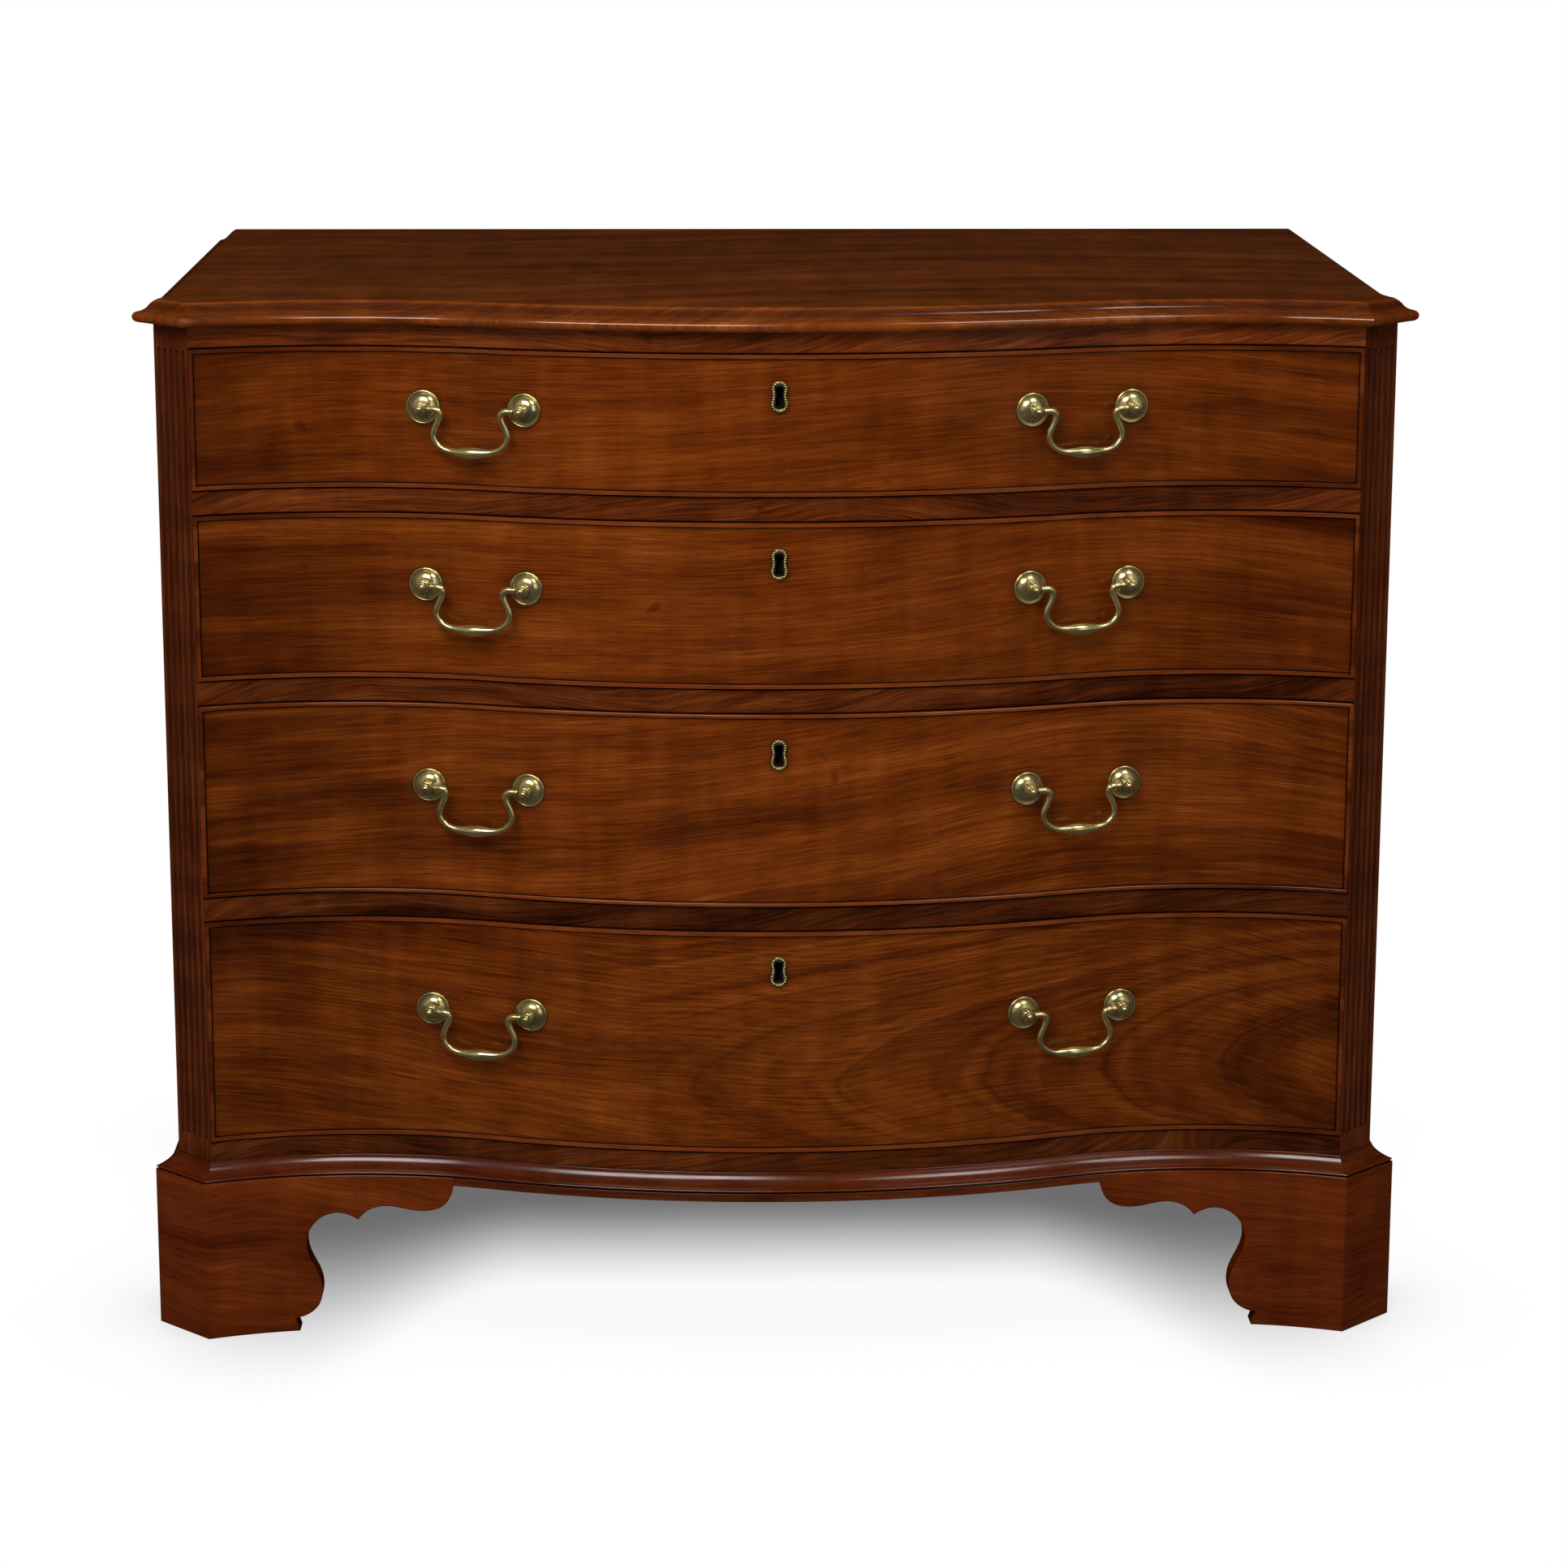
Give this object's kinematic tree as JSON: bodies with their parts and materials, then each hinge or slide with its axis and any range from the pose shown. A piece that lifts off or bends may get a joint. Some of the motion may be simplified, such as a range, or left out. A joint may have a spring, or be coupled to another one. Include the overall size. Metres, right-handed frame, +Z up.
{
  "type": "serpentine chest of drawers",
  "caption": "Serpentine-fronted mahogany chest of graduated drawers with fluted canted corners, cockbeaded fronts, brass swan-neck handles and shaped bracket feet.",
  "frame": {"origin": "on the floor, in the middle of the overall width and depth", "axes": "+Z up, the drawers open towards -Y, +X to the right of someone facing the front"},
  "size_m": [1.0696, 0.6644, 0.888],
  "materials": {
    "mahogany_front": "figured mahogany, glossy aged polish",
    "mahogany_carcass": "mahogany, glossy aged polish",
    "mahogany_top": "dark mahogany, glossy aged polish",
    "cockbead": "mahogany bead, rubbed bright on the edge",
    "oak": "dry unpolished oak",
    "pine": "dry unpolished pine",
    "brass": "aged cast brass",
    "steel": "dull iron"
  },
  "bodies": {
    "carcass": {"top_board": "mahogany_top", "side_left": "mahogany_carcass", "side_right": "mahogany_carcass", "corner_stile_left": "mahogany_carcass", "corner_stile_right": "mahogany_carcass", "top_rail": "mahogany_carcass", "divider_1": "mahogany_carcass", "divider_2": "mahogany_carcass", "divider_3": "mahogany_carcass", "bottom_rail": "mahogany_carcass", "dustboards": "pine", "drawer_runners": "oak", "back_boards": "pine", "bottom_board": "pine", "base_moulding": "mahogany_carcass", "plinth_strips": "mahogany_carcass", "foot_front_left": "mahogany_carcass", "foot_front_right": "mahogany_carcass", "foot_rear_left": "mahogany_carcass", "foot_rear_right": "mahogany_carcass"},
    "drawer_1": {"drawer_1_front": "mahogany_front", "drawer_1_sides": "oak", "drawer_1_back": "oak", "drawer_1_bottom": "oak", "drawer_1_cockbead": "cockbead", "drawer_1_lock": "brass", "drawer_1_handle_mounts": "brass"},
    "bolt_1": {"drawer_1_lock_bolt": "steel"},
    "bail_1_left": {"drawer_1_bail_left": "brass"},
    "bail_1_right": {"drawer_1_bail_right": "brass"},
    "drawer_2": {"drawer_2_front": "mahogany_front", "drawer_2_sides": "oak", "drawer_2_back": "oak", "drawer_2_bottom": "oak", "drawer_2_cockbead": "cockbead", "drawer_2_lock": "brass", "drawer_2_handle_mounts": "brass"},
    "bolt_2": {"drawer_2_lock_bolt": "steel"},
    "bail_2_left": {"drawer_2_bail_left": "brass"},
    "bail_2_right": {"drawer_2_bail_right": "brass"},
    "drawer_3": {"drawer_3_front": "mahogany_front", "drawer_3_sides": "oak", "drawer_3_back": "oak", "drawer_3_bottom": "oak", "drawer_3_cockbead": "cockbead", "drawer_3_lock": "brass", "drawer_3_handle_mounts": "brass"},
    "bolt_3": {"drawer_3_lock_bolt": "steel"},
    "bail_3_left": {"drawer_3_bail_left": "brass"},
    "bail_3_right": {"drawer_3_bail_right": "brass"},
    "drawer_4": {"drawer_4_front": "mahogany_front", "drawer_4_sides": "oak", "drawer_4_back": "oak", "drawer_4_bottom": "oak", "drawer_4_cockbead": "cockbead", "drawer_4_lock": "brass", "drawer_4_handle_mounts": "brass"},
    "bolt_4": {"drawer_4_lock_bolt": "steel"},
    "bail_4_left": {"drawer_4_bail_left": "brass"},
    "bail_4_right": {"drawer_4_bail_right": "brass"}
  },
  "joints": [
    {"name": "drawer_1_slide", "type": "slide", "parent": "carcass", "child": "drawer_1", "axis": [0, -1, 0], "range_m": [0, 0.4]},
    {"name": "drawer_1_bolt_throw", "type": "slide", "parent": "drawer_1", "child": "bolt_1", "axis": [0, 0, 1], "range_m": [0, 0.008]},
    {"name": "drawer_1_bail_left_swing", "type": "hinge", "parent": "drawer_1", "child": "bail_1_left", "pos_m": [-0.25348, -0.28608, 0.8005], "axis": [-0.9651, 0.2621, 0], "range_deg": [-5, 160]},
    {"name": "drawer_1_bail_right_swing", "type": "hinge", "parent": "drawer_1", "child": "bail_1_right", "pos_m": [0.25348, -0.28608, 0.8005], "axis": [-0.9651, -0.2621, 0], "range_deg": [-5, 160]},
    {"name": "drawer_2_slide", "type": "slide", "parent": "carcass", "child": "drawer_2", "axis": [0, -1, 0], "range_m": [0, 0.4]},
    {"name": "drawer_2_bolt_throw", "type": "slide", "parent": "drawer_2", "child": "bolt_2", "axis": [0, 0, 1], "range_m": [0, 0.008]},
    {"name": "drawer_2_bail_left_swing", "type": "hinge", "parent": "drawer_2", "child": "bail_2_left", "pos_m": [-0.25348, -0.28608, 0.652], "axis": [-0.9651, 0.2621, 0], "range_deg": [-5, 160]},
    {"name": "drawer_2_bail_right_swing", "type": "hinge", "parent": "drawer_2", "child": "bail_2_right", "pos_m": [0.25348, -0.28608, 0.652], "axis": [-0.9651, -0.2621, 0], "range_deg": [-5, 160]},
    {"name": "drawer_3_slide", "type": "slide", "parent": "carcass", "child": "drawer_3", "axis": [0, -1, 0], "range_m": [0, 0.4]},
    {"name": "drawer_3_bolt_throw", "type": "slide", "parent": "drawer_3", "child": "bolt_3", "axis": [0, 0, 1], "range_m": [0, 0.008]},
    {"name": "drawer_3_bail_left_swing", "type": "hinge", "parent": "drawer_3", "child": "bail_3_left", "pos_m": [-0.25348, -0.28608, 0.4805], "axis": [-0.9651, 0.2621, 0], "range_deg": [-5, 160]},
    {"name": "drawer_3_bail_right_swing", "type": "hinge", "parent": "drawer_3", "child": "bail_3_right", "pos_m": [0.25348, -0.28608, 0.4805], "axis": [-0.9651, -0.2621, 0], "range_deg": [-5, 160]},
    {"name": "drawer_4_slide", "type": "slide", "parent": "carcass", "child": "drawer_4", "axis": [0, -1, 0], "range_m": [0, 0.4]},
    {"name": "drawer_4_bolt_throw", "type": "slide", "parent": "drawer_4", "child": "bolt_4", "axis": [0, 0, 1], "range_m": [0, 0.008]},
    {"name": "drawer_4_bail_left_swing", "type": "hinge", "parent": "drawer_4", "child": "bail_4_left", "pos_m": [-0.25348, -0.28608, 0.285], "axis": [-0.9651, 0.2621, 0], "range_deg": [-5, 160]},
    {"name": "drawer_4_bail_right_swing", "type": "hinge", "parent": "drawer_4", "child": "bail_4_right", "pos_m": [0.25348, -0.28608, 0.285], "axis": [-0.9651, -0.2621, 0], "range_deg": [-5, 160]}
  ]
}
